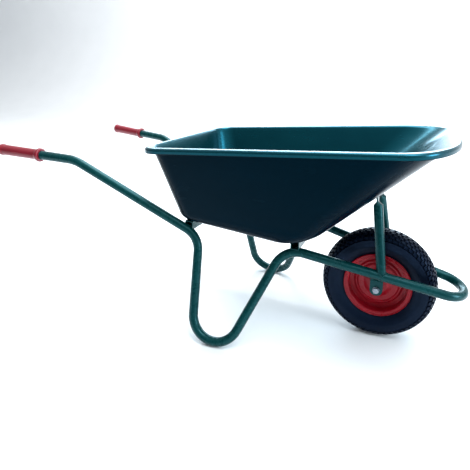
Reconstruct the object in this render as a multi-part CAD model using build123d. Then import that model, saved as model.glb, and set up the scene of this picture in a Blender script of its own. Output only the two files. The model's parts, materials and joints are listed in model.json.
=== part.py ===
from build123d import *
import math
import os

# A single-wheel garden and builder's wheelbarrow.  Millimetres, +X forward, +Y to the
# pusher's left, +Z up.  It is drawn about the point on the ground under the axle and then
# moved so that the origin is on the ground under the middle of its overall box.

# ---- wheel -------------------------------------------------------------------------
TYRE_DIAMETER = 400.0
TYRE_WIDTH = 98.0
TYRE_WALL = 7.0
TREAD_HALF_WIDTH = 41.0
SHOULDER_DROP = 13.0
BEAD_RADIUS = 103.0
BEAD_HALF_WIDTH = 31.0
BEAD_THICKNESS = 9.0
BULGE_RADIUS = 148.0
TUBE_RUBBER = 2.0

RIM_SHEET = 2.0
RIM_FLANGE_RADIUS = 118.0
RIM_FLANGE_CURL = 4.0
RIM_FLANGE_CLEARANCE = 1.0
RIM_FLAT_RADIUS = 76.0
RIM_STEP_RADIUS = 70.0
RIM_STEP_OUT = 10.0
RIM_CONE_RADIUS = 48.0
RIM_COLLAR_RADIUS = 31.0
RIM_COLLAR_OUT = 24.0

HUB_RADIUS = 17.0
HUB_HALF_LENGTH = 50.0
BEARING_RADIUS = 14.0
BEARING_WIDTH = 8.0
BEARING_LEDGE = 1.5

VALVE_RADIUS = 4.0
VALVE_LENGTH = 26.0
VALVE_OFFSET = 15.0
VALVE_CAP_RADIUS = 5.0
VALVE_CAP_LENGTH = 9.0

# ---- axle --------------------------------------------------------------------------
AXLE_HEIGHT = TYRE_DIAMETER / 2
AXLE_RADIUS = 6.0
AXLE_BRACKET_HALF = 62.0
AXLE_HEX = 19.0
AXLE_HEAD_HEIGHT = 7.5
AXLE_NUT_HEIGHT = 10.0
AXLE_THREAD_SPARE = 4.0
AXLE_WASHER_RADIUS = 12.0
AXLE_WASHER_THICKNESS = 2.5
SPACER_RADIUS = 9.0

# ---- height of the tray's floor over the axle -------------------------------------------
FLOOR_RISE_AT_BACK = 201.0

# ---- bars under the tray ----------------------------------------------------------------
CROSSBAR_SIZE = 30.0
CROSSBAR_WALL = 2.0
REAR_BAR_BACK = 645.0
FRONT_BAR_BACK = 268.0
CROSSBAR_SINK = 3.0

# ---- one bent steel tube: both handles, both leg loops and the nose guard -----------
TUBE_RADIUS = 16.0
TUBE_WALL = 1.6
BEND_RADIUS = 85.0
HANDLE_BEND_RADIUS = 120.0
NOSE_BEND_RADIUS = 72.0

LEG_TOP_BACK = 612.0
LEG_TOP_HALF = 184.0
LEG_TOP_BELOW_FLOOR = 56.0
LEG_TOP_RISE = FLOOR_RISE_AT_BACK - LEG_TOP_BELOW_FLOOR

# from the leg tops the handles climb and spread at set slopes to a bend, then run out
HANDLE_END_BACK = 1348.0
HANDLE_RUN = 298.0
HANDLE_RUN_RISE = 20.0
HANDLE_RUN_SPREAD = 38.0
HANDLE_SLOPE = 0.5685
HANDLE_FLARE = 0.18265
HANDLE_BEND_BACK = HANDLE_END_BACK - HANDLE_RUN
HANDLE_BEND_HALF = LEG_TOP_HALF + HANDLE_FLARE * (HANDLE_BEND_BACK - LEG_TOP_BACK)
HANDLE_BEND_RISE = LEG_TOP_RISE + HANDLE_SLOPE * (HANDLE_BEND_BACK - LEG_TOP_BACK)
HANDLE_END_HALF = HANDLE_BEND_HALF + HANDLE_RUN_SPREAD
HANDLE_END_RISE = HANDLE_BEND_RISE + HANDLE_RUN_RISE

LEG_HEEL_BACK = 590.0
LEG_TOE_BACK = 450.0
LEG_FOOT_HALF = 292.0
KNEE_BACK = 305.0
KNEE_HALF = 147.0
NOSE_AHEAD_OF_TYRE = 79.5
NOSE_BESIDE_TYRE = 14.0
NOSE_REACH = TYRE_DIAMETER / 2 + NOSE_AHEAD_OF_TYRE
NOSE_HALF = TYRE_WIDTH / 2 + NOSE_BESIDE_TYRE
NOSE_RISE = 17.5

# the side run, from nose to knee, passes the front bar at a set depth below the floor
SIDE_RUN_BELOW_FLOOR = 70.6
SIDE_RUN_CLIMB = FLOOR_RISE_AT_BACK - SIDE_RUN_BELOW_FLOOR - NOSE_RISE
KNEE_SHARE = (NOSE_REACH + KNEE_BACK) / (NOSE_REACH + FRONT_BAR_BACK)
KNEE_RISE = NOSE_RISE + SIDE_RUN_CLIMB * KNEE_SHARE

# ---- welded pieces -------------------------------------------------------------------
STRUT_RADIUS = 16.0
STRUT_WALL = 1.5
STRUT_FOOT_X = 16.0
STRUT_TOP_X = -26.0
STRUT_TOP_HALF = 39.0
STRUT_TONGUE = 46.0
STRUT_NECK = 14.0
TONGUE_WIDTH = 38.0
TONGUE_THICKNESS = 5.0
TONGUE_PAD = 44.0
LUG_LENGTH = 34.0
LUG_WIDTH = 30.0
LUG_THICKNESS = 4.0
BRACKET_THICKNESS = 5.0
BRACKET_HALF_WIDTH = 22.0
BRACKET_TAB_RISE = 34.0

# ---- tray ----------------------------------------------------------------------------
TRAY_WALL = 4.5
RIM_BACK = 771.0
RIM_FRONT = 207.0
RIM_REAR_HALF = 287.0
RIM_FRONT_HALF = 312.0
RIM_NOSE_X = 60.0
WALL_NOSE_X = 25.0
WALL_NOSE_FLAT_HALF = 144.0
RIM_NOSE_FLAT_HALF = 60.0
RIM_CORNER_RADIUS = 72.0
RIM_REAR_RISE = 463.5
RIM_SLOPE = 0.071
FLANGE_SIDE = 22.0
FLANGE_REAR = 17.0
FLANGE_FRONT = 20.0
LIP_DEPTH = 19.0
FLOOR_BACK = 662.0
FLOOR_FRONT_BACK = 324.0
FLOOR_REAR_HALF = 171.0
FLOOR_FRONT_HALF = 168.0
FLOOR_CORNER_RADIUS = 32.0
FLOOR_SLOPE = -0.107
FLOOR_EDGE_RADIUS = 44.0
FLOOR_FRONT_RADIUS = 200.0
SIDE_WALL_ANGLE = 77.0
REAR_WALL_ANGLE = 80.0
FRONT_WALL_ANGLE = 50.0
ROUNDING_STEPS = 4

# ---- tray fasteners --------------------------------------------------------------------
BOLT_RADIUS = 4.0
BOLT_HOLE_CLEARANCE = 0.5
BOLT_HEAD_RADIUS = 10.0
BOLT_HEAD_HEIGHT = 4.0
BOLT_HEAD_ROUNDING = 2.8
BOLT_SPARE = 5.0
NUT_HEX = 13.0
NUT_HEIGHT = 6.5
WASHER_RADIUS = 12.0
WASHER_THICKNESS = 1.6
REAR_BOLT_HALF = 110.0
LUG_BOLT_HALF = 108.0

# ---- hand grips ------------------------------------------------------------------------
GRIP_LENGTH = 165.0
GRIP_RADIUS = 18.5
GRIP_END_RADIUS = 20.5
GRIP_END_CAP = 4.0
GRIP_END_CHAMFER = 5.0
GRIP_END_LENGTH = 12.0
GRIP_END_TAPER = 6.0
GRIP_FLANGE_TAPER = 4.0
GRIP_FLANGE_RADIUS = 25.0
GRIP_FLANGE_LENGTH = 9.0

# ---- fits --------------------------------------------------------------------------------
RUNNING_CLEARANCE = 0.05
PUSH_CLEARANCE = 0.05
AXIAL_GAP = 0.4
HOLE_CLEARANCE = 0.5

LEFT = 1
RIGHT = -1
UPRIGHT = (Align.CENTER, Align.CENTER, Align.MIN)


def sheet_face(points, thickness):
    """A closed section: the open outline given, and the same outline moved to its left."""
    moved = []
    for i, point in enumerate(points):
        before = points[max(i - 1, 0)]
        after = points[min(i + 1, len(points) - 1)]
        first = Vector(point[0] - before[0], point[1] - before[1])
        second = Vector(after[0] - point[0], after[1] - point[1])
        first = first if first.length > 0 else second
        second = second if second.length > 0 else first
        first = first.normalized()
        second = second.normalized()
        reach = thickness / (1 + first.dot(second))
        normal = Vector(-first.Y - second.Y, first.X + second.X)
        moved.append((point[0] + normal.X * reach, point[1] + normal.Y * reach))
    return make_face(Polyline(*points, *reversed(moved), close=True))


def turned(face):
    """A wheel piece: a section drawn as (outward, radius), turned about the axle."""
    ring = revolve(Plane.YZ * face, Axis.Y, 360)
    return Pos(0, 0, AXLE_HEIGHT) * ring


def across(radius, y_from, y_to):
    """A round bar along the axle line between two distances from the middle plane."""
    bar = Cylinder(radius, y_to - y_from, align=UPRIGHT)
    return Pos(0, y_from, AXLE_HEIGHT) * (Rot(-90, 0, 0) * bar)


def hexagon_bar(across_flats, height):
    """A hexagonal prism standing on its own XY plane."""
    return extrude(RegularPolygon(across_flats / 2, 6, major_radius=False), height)


def mirrored(piece):
    """The same piece on the other side of the middle plane."""
    return mirror(piece, Plane.XZ)


# ---- main tube -----------------------------------------------------------------------------
def handle_end(side):
    return Vector(-HANDLE_END_BACK, side * HANDLE_END_HALF, AXLE_HEIGHT + HANDLE_END_RISE)


def handle_bend(side):
    return Vector(-HANDLE_BEND_BACK, side * HANDLE_BEND_HALF, AXLE_HEIGHT + HANDLE_BEND_RISE)


def knee(side):
    return Vector(-KNEE_BACK, side * KNEE_HALF, AXLE_HEIGHT + KNEE_RISE)


def nose_corner(side):
    return Vector(NOSE_REACH, side * NOSE_HALF, AXLE_HEIGHT + NOSE_RISE)


def tube_corners(side):
    """Where the tube's straight runs would meet on one side, from handle to nose."""
    grip_line = (handle_bend(side) - handle_end(side)).normalized()
    return [
        handle_end(side) + grip_line * GRIP_END_CAP,
        handle_bend(side),
        Vector(-LEG_TOP_BACK, side * LEG_TOP_HALF, AXLE_HEIGHT + LEG_TOP_RISE),
        Vector(-LEG_HEEL_BACK, side * LEG_FOOT_HALF, TUBE_RADIUS),
        Vector(-LEG_TOE_BACK, side * LEG_FOOT_HALF, TUBE_RADIUS),
        knee(side),
        nose_corner(side),
    ]


def tube_path():
    """The middle line of the bent tube, from the left grip round the nose to the right."""
    half_radii = [HANDLE_BEND_RADIUS] + [BEND_RADIUS] * 4 + [NOSE_BEND_RADIUS]
    corners = tube_corners(LEFT) + list(reversed(tube_corners(RIGHT)))
    return FilletPolyline(*corners, radius=half_radii + list(reversed(half_radii)))


def along(path, radius):
    """A solid round bar that follows a path."""
    start = Plane(origin=path @ 0, z_dir=path % 0)
    return sweep(start * Circle(radius), path=path)


def side_run_point(x, side):
    """The middle of the straight side run of the tube, at a distance forward of the axle."""
    start = knee(side)
    share = (x - start.X) / (nose_corner(side).X - start.X)
    return start + (nose_corner(side) - start) * share


# ---- tray --------------------------------------------------------------------------------
def rim_height(x):
    """Height of the rim's top face, which climbs evenly towards the front."""
    return AXLE_HEIGHT + RIM_REAR_RISE + RIM_SLOPE * (x + RIM_BACK)


def floor_height(x):
    """Height of the underside of the floor, which falls towards the front."""
    return AXLE_HEIGHT + FLOOR_RISE_AT_BACK + FLOOR_SLOPE * (x + FLOOR_BACK)


def d_outline(back, front, shape):
    """A flat closed outline: straight rear edge, rounded rear corners, flaring sides and
    a nose of two quarter ellipses, in the plane through two (x, z) points."""
    rear_half, nose_half, nose_x, nose_flat, corner = shape
    slope = math.atan2(front[1] - back[1], front[0] - back[0])
    stretch = 1 / math.cos(slope)
    plane = Plane(
        origin=(back[0], 0, back[1]),
        x_dir=(math.cos(slope), 0, math.sin(slope)),
        z_dir=(-math.sin(slope), 0, math.cos(slope)),
    )
    length = (front[0] - back[0]) * stretch
    nose = (nose_x - back[0]) * stretch
    flare = (nose_half - rear_half) / nose
    side_at_corner = rear_half + flare * corner
    pieces = []
    for side in (LEFT, RIGHT):
        pieces += [
            EllipticalCenterArc(
                (corner, side * (side_at_corner - corner)), corner, corner,
                start_angle=90 * side, arc_size=90 * side,
            ),
            Line((corner, side * side_at_corner), (nose, side * nose_half)),
            EllipticalCenterArc(
                (nose, side * nose_flat), length - nose, nose_half - nose_flat,
                start_angle=90 * side, arc_size=-90 * side,
            ),
        ]
    pieces += [
        Line((0, side_at_corner - corner), (0, corner - side_at_corner)),
        Line((length, nose_flat), (length, -nose_flat)),
    ]
    return plane * make_face(pieces)


def bow_point(turn, inset):
    """A point (x, z) of the bowed stretch between the floor and the front wall."""
    tilt = math.atan(FLOOR_SLOPE)
    angle = math.radians(FRONT_WALL_ANGLE * turn) + tilt
    bow = FLOOR_FRONT_RADIUS - inset
    x = -FLOOR_FRONT_BACK + bow * (math.sin(angle) - math.sin(tilt))
    rise = FLOOR_FRONT_RADIUS - bow * math.cos(angle) / math.cos(tilt)
    return x, floor_height(-FLOOR_FRONT_BACK) + rise


def wall_section(turn, inset):
    """One level of the tray's rounded lower edge, from the flat floor (turn 0) to the
    foot of the slanting walls (turn 1)."""
    side = math.radians(SIDE_WALL_ANGLE * turn)
    rear = math.radians(REAR_WALL_ANGLE * turn)
    edge = FLOOR_EDGE_RADIUS - inset
    rear_z = FLOOR_EDGE_RADIUS - edge * math.cos(rear)
    back = (-FLOOR_BACK - edge * math.sin(rear), floor_height(-FLOOR_BACK) + rear_z)
    fore = bow_point(turn, inset)
    grow = edge * math.sin(side)
    shape = (
        FLOOR_REAR_HALF + grow,
        FLOOR_FRONT_HALF + grow,
        fore[0] - FLOOR_CORNER_RADIUS - grow,
        FLOOR_FRONT_HALF - FLOOR_CORNER_RADIUS,
        FLOOR_CORNER_RADIUS + grow,
    )
    return d_outline(back, fore, shape)


def rim_section(inset, over):
    """The wall's outline at the level of the rim, or a little over it."""
    back_x = -RIM_BACK + FLANGE_REAR + inset - over / math.tan(math.radians(REAR_WALL_ANGLE))
    fore_x = RIM_FRONT - FLANGE_FRONT - inset + over
    spread = -FLANGE_SIDE - inset + over / math.tan(math.radians(SIDE_WALL_ANGLE))
    shape = (
        RIM_REAR_HALF + spread,
        RIM_FRONT_HALF + spread,
        WALL_NOSE_X,
        WALL_NOSE_FLAT_HALF,
        RIM_CORNER_RADIUS + spread / 2,
    )
    back = (back_x, rim_height(back_x) + over)
    fore = (fore_x, rim_height(fore_x) + over)
    return d_outline(back, fore, shape)


def tray_body(inset, over):
    """The solid that the tray wall encloses, moved inwards by the inset."""
    turns = [step / ROUNDING_STEPS for step in range(ROUNDING_STEPS + 1)]
    levels = [wall_section(turn, inset) for turn in turns]
    return loft([*levels, rim_section(inset, over)], ruled=True)


def rim_outline(inset):
    """The outer edge of the tray's rolled rim, moved inwards by the inset."""
    shape = (
        RIM_REAR_HALF - inset,
        RIM_FRONT_HALF - inset,
        RIM_NOSE_X,
        RIM_NOSE_FLAT_HALF,
        RIM_CORNER_RADIUS - inset,
    )
    back_x = -RIM_BACK + inset
    fore_x = RIM_FRONT - inset
    return d_outline((back_x, rim_height(back_x)), (fore_x, rim_height(fore_x)), shape)


def tray(outside):
    """A moulded tub with a flat rim whose edge turns down."""
    flange = extrude(rim_outline(0), -TRAY_WALL)
    skirt = extrude(rim_outline(0), -LIP_DEPTH) - extrude(rim_outline(TRAY_WALL), -LIP_DEPTH)
    tub = outside + flange + skirt
    return tub - tray_body(TRAY_WALL, TRAY_WALL)


# ---- places where the tray is held ---------------------------------------------------------
def floor_seat(x, y):
    """A plane on the underside of the flat floor, facing up into the tray."""
    return Plane(
        origin=(x, y, floor_height(x)), x_dir=(1, 0, FLOOR_SLOPE), z_dir=(-FLOOR_SLOPE, 0, 1),
    )


def slope_seat(low, high, share, y):
    """A plane on the underside of a slanting stretch between two (x, z) points."""
    run = (high[0] - low[0], high[1] - low[1])
    origin = (low[0] + run[0] * share, y, low[1] + run[1] * share)
    return Plane(origin=origin, x_dir=(run[0], 0, run[1]), z_dir=(-run[1], 0, run[0]))


def lug_seat(y):
    """The seat of a lug, on the first slant in front of the flat floor."""
    return slope_seat(bow_point(0, 0), bow_point(1 / ROUNDING_STEPS, 0), 0.5, y)


def front_wall_seat(x, y):
    """A plane on the underside of the slanting front wall, facing into the tray."""
    low = bow_point(1, 0)
    fore_x = RIM_FRONT - FLANGE_FRONT
    share = (x - low[0]) / (fore_x - low[0])
    return slope_seat(low, (fore_x, rim_height(fore_x)), share, y)


def strut_bolt_seat(side):
    """The seat of a strut's bolt, half way along the strut's pad."""
    seat = front_wall_seat(STRUT_TOP_X, side * STRUT_TOP_HALF)
    return seat * Pos(TONGUE_PAD / 2, 0, 0) * Plane.XY


def tray_seats():
    """Every bolt's plane, with the thickness of what it clamps below the tray."""
    seats = []
    for side in (LEFT, RIGHT):
        seats.append((floor_seat(-REAR_BAR_BACK, side * REAR_BOLT_HALF), CROSSBAR_SIZE))
        seats.append((lug_seat(side * LUG_BOLT_HALF), LUG_THICKNESS))
        seats.append((strut_bolt_seat(side), TONGUE_THICKNESS))
    return seats


def bolt_hole(seat, grip):
    """The hole that a tray bolt needs through the wall and what is below it."""
    depth = grip + TRAY_WALL + 2 * WASHER_RADIUS
    hole = Pos(0, 0, -grip) * Cylinder(BOLT_RADIUS + BOLT_HOLE_CLEARANCE, depth)
    return seat * (Pos(0, 0, depth / 2 - WASHER_RADIUS) * hole)


def bolt_holes():
    return [bolt_hole(seat, grip) for seat, grip in tray_seats()]


def tray_bolt(seat, grip):
    """A cup-head bolt dropped in from inside the tray."""
    below = grip + WASHER_THICKNESS + NUT_HEIGHT + BOLT_SPARE
    shank = Cylinder(BOLT_RADIUS, below + TRAY_WALL, align=UPRIGHT)
    head = Cylinder(BOLT_HEAD_RADIUS, BOLT_HEAD_HEIGHT, align=UPRIGHT)
    head = fillet(head.edges().group_by(Axis.Z)[-1], BOLT_HEAD_ROUNDING)
    return seat * (Pos(0, 0, -below) * shank + Pos(0, 0, TRAY_WALL) * head)


def tray_washer(seat, grip):
    disc = Cylinder(WASHER_RADIUS, WASHER_THICKNESS)
    disc -= Cylinder(BOLT_RADIUS + PUSH_CLEARANCE, WASHER_THICKNESS)
    return seat * (Pos(0, 0, -grip - WASHER_THICKNESS / 2) * disc)


def tray_nut(seat, grip):
    nut = hexagon_bar(NUT_HEX, NUT_HEIGHT)
    nut -= Cylinder(BOLT_RADIUS + PUSH_CLEARANCE, 2 * NUT_HEIGHT)
    return seat * (Pos(0, 0, -grip - WASHER_THICKNESS - NUT_HEIGHT) * nut)


# ---- frame ---------------------------------------------------------------------------------
def main_tube(solid_tube):
    """The one long bent tube of the frame, open at both handle ends."""
    return solid_tube - along(tube_path(), TUBE_RADIUS - TUBE_WALL)


def front_strut(side, solid_tube, tray_solid):
    """A tube up to the tray's front wall, its top squashed flat, bent and bolted on."""
    foot = side_run_point(STRUT_FOOT_X, side)
    seat = front_wall_seat(STRUT_TOP_X, side * STRUT_TOP_HALF)
    line = (seat.origin - foot).normalized()
    base = Plane(origin=foot, x_dir=Vector(0, 1, 0).cross(line), z_dir=line)
    length = (seat.origin - foot).length - STRUT_TONGUE
    tube = Cylinder(STRUT_RADIUS, length, align=UPRIGHT)
    tube -= Cylinder(STRUT_RADIUS - STRUT_WALL, length, align=UPRIGHT)
    flat = Rectangle(TONGUE_THICKNESS, TONGUE_WIDTH)
    neck = loft([Pos(0, 0, length) * Circle(STRUT_RADIUS), Pos(0, 0, length + STRUT_NECK) * flat])
    tongue = extrude(Pos(0, 0, length + STRUT_NECK) * flat, STRUT_TONGUE)
    pad_size = (TONGUE_PAD + TONGUE_THICKNESS, TONGUE_WIDTH, TONGUE_THICKNESS)
    pad = Pos((TONGUE_PAD - TONGUE_THICKNESS) / 2, 0, -TONGUE_THICKNESS / 2) * Box(*pad_size)
    strut = base * (tube + neck + tongue) + seat * pad
    return largest(strut - solid_tube - tray_solid - bolt_holes())


def largest(shape):
    """The main solid of a piece after its ends are trimmed to their neighbours."""
    return max(shape.solids(), key=lambda solid: solid.volume)


def square_bar(length):
    """A hollow square bar along Y, its top face on its own XY plane."""
    outer = Box(CROSSBAR_SIZE, length, CROSSBAR_SIZE)
    inner = CROSSBAR_SIZE - 2 * CROSSBAR_WALL
    return Pos(0, 0, -CROSSBAR_SIZE / 2) * (outer - Box(inner, length, inner))


def rear_crossbar(solid_tube):
    """The bar under the back of the floor, across the tops of the legs."""
    seat = floor_seat(-REAR_BAR_BACK, 0)
    bar = seat * square_bar(2 * (LEG_TOP_HALF + TUBE_RADIUS / 2))
    return largest(bar - solid_tube - bolt_holes())


def front_crossbar(solid_tube, tray_solid):
    """The bar under the front of the floor, across the tube's knees."""
    tilt = math.atan(FLOOR_SLOPE)
    offset_x = FLOOR_FRONT_BACK - FRONT_BAR_BACK
    angle = math.asin(offset_x / FLOOR_FRONT_RADIUS + math.sin(tilt))
    top = bow_point((math.degrees(angle - tilt)) / FRONT_WALL_ANGLE, 0)[1] + CROSSBAR_SINK
    bar = Pos(-FRONT_BAR_BACK, 0, top) * square_bar(2 * (KNEE_HALF + TUBE_RADIUS / 2))
    return largest(bar - solid_tube - tray_solid)


def tray_lug(side, bar):
    """A small bolting plate behind the front crossbar."""
    seat = lug_seat(side * LUG_BOLT_HALF)
    plate = seat * (Pos(0, 0, -LUG_THICKNESS / 2) * Box(LUG_LENGTH, LUG_WIDTH, LUG_THICKNESS))
    block = Box(CROSSBAR_SIZE, 2 * KNEE_HALF, CROSSBAR_SIZE)
    block = Pos(-FRONT_BAR_BACK, 0, bar.center().Z) * block
    return largest(plate - block - bolt_holes())


def axle_bracket(side, solid_tube):
    """A bent plate welded under the side run, with the axle's hole in its upright tab."""
    weld = side_run_point(0, LEFT)
    outline = [
        (weld.Y, weld.Z),
        (AXLE_BRACKET_HALF, AXLE_HEIGHT + BRACKET_TAB_RISE),
        (AXLE_BRACKET_HALF, AXLE_HEIGHT - BRACKET_HALF_WIDTH),
    ]
    plate = extrude(Plane.YZ * sheet_face(outline, BRACKET_THICKNESS), BRACKET_HALF_WIDTH, both=True)
    round_end = across(BRACKET_HALF_WIDTH, 0, TYRE_DIAMETER)
    upper = Box(2 * BRACKET_HALF_WIDTH, TYRE_DIAMETER, TYRE_DIAMETER, align=UPRIGHT)
    plate &= round_end + Pos(0, 0, AXLE_HEIGHT) * upper
    plate -= across(AXLE_RADIUS + HOLE_CLEARANCE, 0, TYRE_DIAMETER)
    plate = largest(plate - solid_tube)
    return plate if side == LEFT else mirrored(plate)


def hand_grip(side):
    """A moulded sleeve with a domed end and a guard flange."""
    start = handle_end(side)
    line = (handle_bend(side) - start).normalized()
    flange = GRIP_LENGTH - GRIP_FLANGE_LENGTH
    points = [
        (0, 0),
        (0, GRIP_END_RADIUS - GRIP_END_CHAMFER),
        (GRIP_END_CHAMFER, GRIP_END_RADIUS),
        (GRIP_END_LENGTH, GRIP_END_RADIUS),
        (GRIP_END_LENGTH + GRIP_END_TAPER, GRIP_RADIUS),
        (flange - GRIP_FLANGE_TAPER, GRIP_RADIUS),
        (flange, GRIP_FLANGE_RADIUS),
        (GRIP_LENGTH, GRIP_FLANGE_RADIUS),
        (GRIP_LENGTH, TUBE_RADIUS + PUSH_CLEARANCE),
        (GRIP_END_CAP, TUBE_RADIUS + PUSH_CLEARANCE),
        (GRIP_END_CAP, 0),
    ]
    section = make_face(Polyline(*[(radius, depth) for depth, radius in points], close=True))
    sleeve = revolve(Plane.XZ * section, Axis.Z, 360)
    return Plane(origin=start, z_dir=line) * sleeve


# ---- axle ----------------------------------------------------------------------------------
def axle_face():
    """How far out the brackets' outer faces are."""
    return AXLE_BRACKET_HALF + BRACKET_THICKNESS


def axle_bolt():
    """A long hexagon bolt: the head on the right, the thread on the left."""
    seat = axle_face() + AXLE_WASHER_THICKNESS
    shank = across(AXLE_RADIUS, -seat, seat + AXLE_NUT_HEIGHT + AXLE_THREAD_SPARE)
    head = Rot(90, 0, 0) * hexagon_bar(AXLE_HEX, AXLE_HEAD_HEIGHT)
    return shank + Pos(0, -seat, AXLE_HEIGHT) * head


def axle_nut():
    seat = axle_face() + AXLE_WASHER_THICKNESS
    nut = Pos(0, seat, AXLE_HEIGHT) * (Rot(-90, 0, 0) * hexagon_bar(AXLE_HEX, AXLE_NUT_HEIGHT))
    return nut - across(AXLE_RADIUS + PUSH_CLEARANCE, 0, 2 * seat)


def ring_across(outer, inner, y_from, y_to):
    return across(outer, y_from, y_to) - across(inner, y_from, y_to)


def axle_washers():
    start = axle_face()
    end = start + AXLE_WASHER_THICKNESS
    washer = ring_across(AXLE_WASHER_RADIUS, AXLE_RADIUS + PUSH_CLEARANCE, start, end)
    return [washer, mirrored(washer)]


def axle_spacer(side):
    """A sleeve that keeps the wheel away from one bracket."""
    bore = AXLE_RADIUS + PUSH_CLEARANCE
    sleeve = ring_across(SPACER_RADIUS, bore, HUB_HALF_LENGTH + AXIAL_GAP, AXLE_BRACKET_HALF)
    return sleeve if side == LEFT else mirrored(sleeve)


def bearing_spacer():
    """The sleeve on the bolt between the two bearings."""
    reach = HUB_HALF_LENGTH - BEARING_WIDTH - AXIAL_GAP
    return ring_across(SPACER_RADIUS, AXLE_RADIUS + PUSH_CLEARANCE, -reach, reach)


# ---- wheel ---------------------------------------------------------------------------------
def tyre_outline():
    """The tyre's outer section, from bead to bead over the crown."""
    radius = TYRE_DIAMETER / 2
    shoulder = radius - SHOULDER_DROP
    bead_top = RIM_FLANGE_RADIUS + RIM_FLANGE_CLEARANCE
    half = TYRE_WIDTH / 2
    edges = [
        Line((-BEAD_HALF_WIDTH, BEAD_RADIUS), (BEAD_HALF_WIDTH, BEAD_RADIUS)),
        ThreePointArc((-TREAD_HALF_WIDTH, shoulder), (0, radius), (TREAD_HALF_WIDTH, shoulder)),
    ]
    for side in (LEFT, RIGHT):
        edges.append(Line((side * BEAD_HALF_WIDTH, BEAD_RADIUS), (side * BEAD_HALF_WIDTH, bead_top)))
        edges.append(ThreePointArc(
            (side * BEAD_HALF_WIDTH, bead_top), (side * half, BULGE_RADIUS),
            (side * TREAD_HALF_WIDTH, shoulder),
        ))
    return make_face(edges)


def tyre():
    """The rubber casing, open towards the rim between its two beads."""
    outline = tyre_outline()
    mouth = Pos(0, BEAD_RADIUS) * Rectangle(2 * (BEAD_HALF_WIDTH - BEAD_THICKNESS), 4 * TYRE_WALL)
    return turned(outline - offset(outline, -TYRE_WALL) - mouth)


def inner_tube():
    """The inflated tube inside the casing."""
    skin = TYRE_WALL + PUSH_CLEARANCE
    outline = tyre_outline()
    return turned(offset(outline, -skin) - offset(outline, -skin - TUBE_RUBBER))


def rim_half():
    """The left pressed half: flange, bead seat, flat, raised ring, cone and collar."""
    points = [
        (BEAD_HALF_WIDTH + RIM_FLANGE_CURL, RIM_FLANGE_RADIUS),
        (BEAD_HALF_WIDTH, RIM_FLANGE_RADIUS - RIM_FLANGE_CURL),
        (BEAD_HALF_WIDTH, BEAD_RADIUS),
        (0, BEAD_RADIUS),
        (0, RIM_FLAT_RADIUS),
        (RIM_STEP_OUT, RIM_STEP_RADIUS),
        (RIM_STEP_OUT, RIM_CONE_RADIUS),
        (RIM_COLLAR_OUT, RIM_COLLAR_RADIUS),
        (RIM_COLLAR_OUT, HUB_RADIUS + PUSH_CLEARANCE),
    ]
    return turned(sheet_face(points, RIM_SHEET))


def rim_right():
    """The other half, with the valve's hole through its bead seat."""
    hole = Cylinder(VALVE_RADIUS + HOLE_CLEARANCE, 4 * RIM_FLANGE_CURL)
    return mirrored(rim_half()) - Pos(0, -VALVE_OFFSET, AXLE_HEIGHT + BEAD_RADIUS) * hole


def hub():
    """The steel sleeve that both rim halves are welded to."""
    sleeve = across(HUB_RADIUS, -HUB_HALF_LENGTH, HUB_HALF_LENGTH)
    shoulder = HUB_HALF_LENGTH - BEARING_WIDTH
    sleeve -= across(BEARING_RADIUS - BEARING_LEDGE, -HUB_HALF_LENGTH, HUB_HALF_LENGTH)
    for start, end in ((-HUB_HALF_LENGTH, -shoulder), (shoulder, HUB_HALF_LENGTH)):
        sleeve -= across(BEARING_RADIUS + PUSH_CLEARANCE, start, end)
    return sleeve


def bearing(side):
    """A sealed ball bearing as one ring, running on the axle bolt."""
    bore = AXLE_RADIUS + RUNNING_CLEARANCE
    ring = ring_across(BEARING_RADIUS, bore, HUB_HALF_LENGTH - BEARING_WIDTH, HUB_HALF_LENGTH)
    return ring if side == LEFT else mirrored(ring)


def valve_top():
    """Radius at which the valve leaves the inner tube."""
    return BEAD_RADIUS + TYRE_WALL - HOLE_CLEARANCE


def valve_stem():
    height = AXLE_HEIGHT + valve_top() - VALVE_LENGTH / 2
    return Pos(0, -VALVE_OFFSET, height) * Cylinder(VALVE_RADIUS, VALVE_LENGTH)


def valve_cap():
    height = AXLE_HEIGHT + valve_top() - VALVE_LENGTH - VALVE_CAP_LENGTH / 2
    return Pos(0, -VALVE_OFFSET, height) * Cylinder(VALVE_CAP_RADIUS, VALVE_CAP_LENGTH)


# ---- assembly ------------------------------------------------------------------------------
def fasteners(make):
    """One tray fastener at every seat."""
    return [make(seat, grip) for seat, grip in tray_seats()]


def pieces():
    """Every node's solids, by name."""
    solid_tube = along(tube_path(), TUBE_RADIUS)
    tray_solid = tray_body(0, 0)
    bar = front_crossbar(solid_tube, tray_solid)
    return {
        "main_tube": [main_tube(solid_tube)],
        "front_strut_left": [front_strut(LEFT, solid_tube, tray_solid)],
        "front_strut_right": [front_strut(RIGHT, solid_tube, tray_solid)],
        "rear_crossbar": [rear_crossbar(solid_tube)],
        "front_crossbar": [bar],
        "tray_lug_left": [tray_lug(LEFT, bar)],
        "tray_lug_right": [tray_lug(RIGHT, bar)],
        "axle_bracket_left": [axle_bracket(LEFT, solid_tube)],
        "axle_bracket_right": [axle_bracket(RIGHT, solid_tube)],
        "tray": [tray(tray_solid) - bolt_holes()],
        "tray_bolts": fasteners(tray_bolt),
        "tray_washers": fasteners(tray_washer),
        "tray_nuts": fasteners(tray_nut),
        "grip_left": [hand_grip(LEFT)],
        "grip_right": [hand_grip(RIGHT)],
        "axle_bolt": [axle_bolt()],
        "axle_nut": [axle_nut()],
        "axle_washers": axle_washers(),
        "axle_spacer_left": [axle_spacer(LEFT)],
        "axle_spacer_right": [axle_spacer(RIGHT)],
        "bearing_spacer": [bearing_spacer()],
        "tyre": [tyre()],
        "inner_tube": [inner_tube()],
        "rim_left": [rim_half()],
        "rim_right": [rim_right()],
        "hub": [hub()],
        "bearing_left": [bearing(LEFT)],
        "bearing_right": [bearing(RIGHT)],
        "valve_stem": [valve_stem()],
        "valve_cap": [valve_cap()],
    }


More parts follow.
